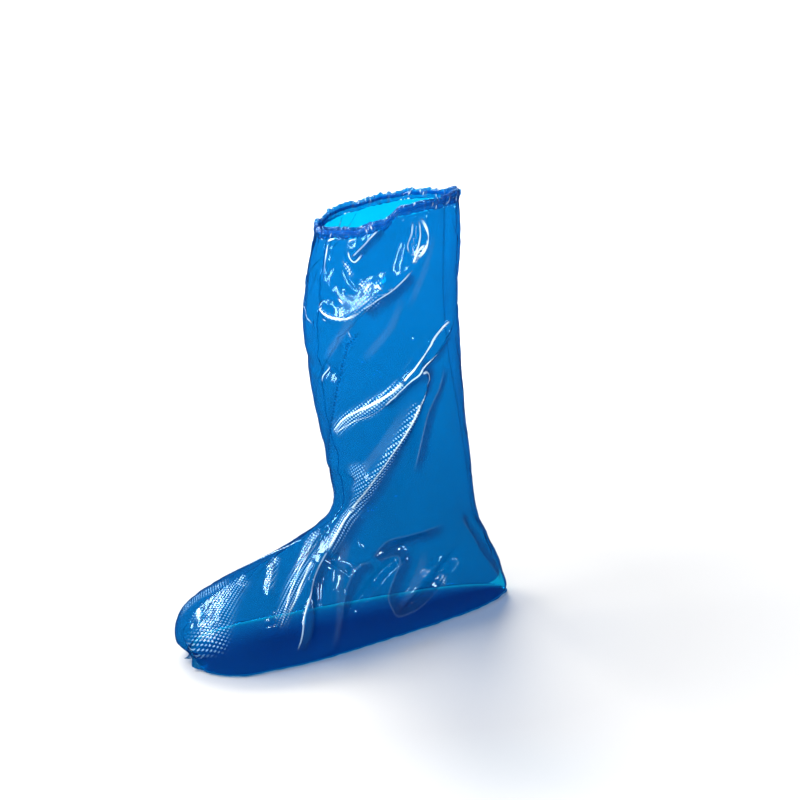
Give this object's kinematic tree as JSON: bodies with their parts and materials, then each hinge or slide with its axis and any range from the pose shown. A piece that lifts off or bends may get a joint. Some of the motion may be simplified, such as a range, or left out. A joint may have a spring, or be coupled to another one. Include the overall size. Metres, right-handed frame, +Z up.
{
  "type": "disposable leg cover",
  "caption": "Boot-shaped cover of thin film, pulled over a shoe and lower leg, with an elastic gathered top, welded side panels and a folded flat sole.",
  "frame": {"origin": "centre of the leg opening, level with the lower edge of its hem, where the elastic holds the cover on the leg", "axes": "+Z up out of the leg opening, -X towards the toe, +X towards the heel, -Y the left side, +Y the right side"},
  "size_m": [0.3708, 0.1499, 0.4235],
  "materials": {
    "film": "glossy embossed translucent film",
    "weld": "film fused into a narrow seam",
    "elastic": "matt thin elastic"
  },
  "bodies": {
    "root": {"left_panel": "film", "right_panel": "film", "sole_gusset": "film", "top_hem": "film", "front_weld": "weld", "back_weld": "weld", "elastic_band": "elastic"}
  },
  "joints": []
}
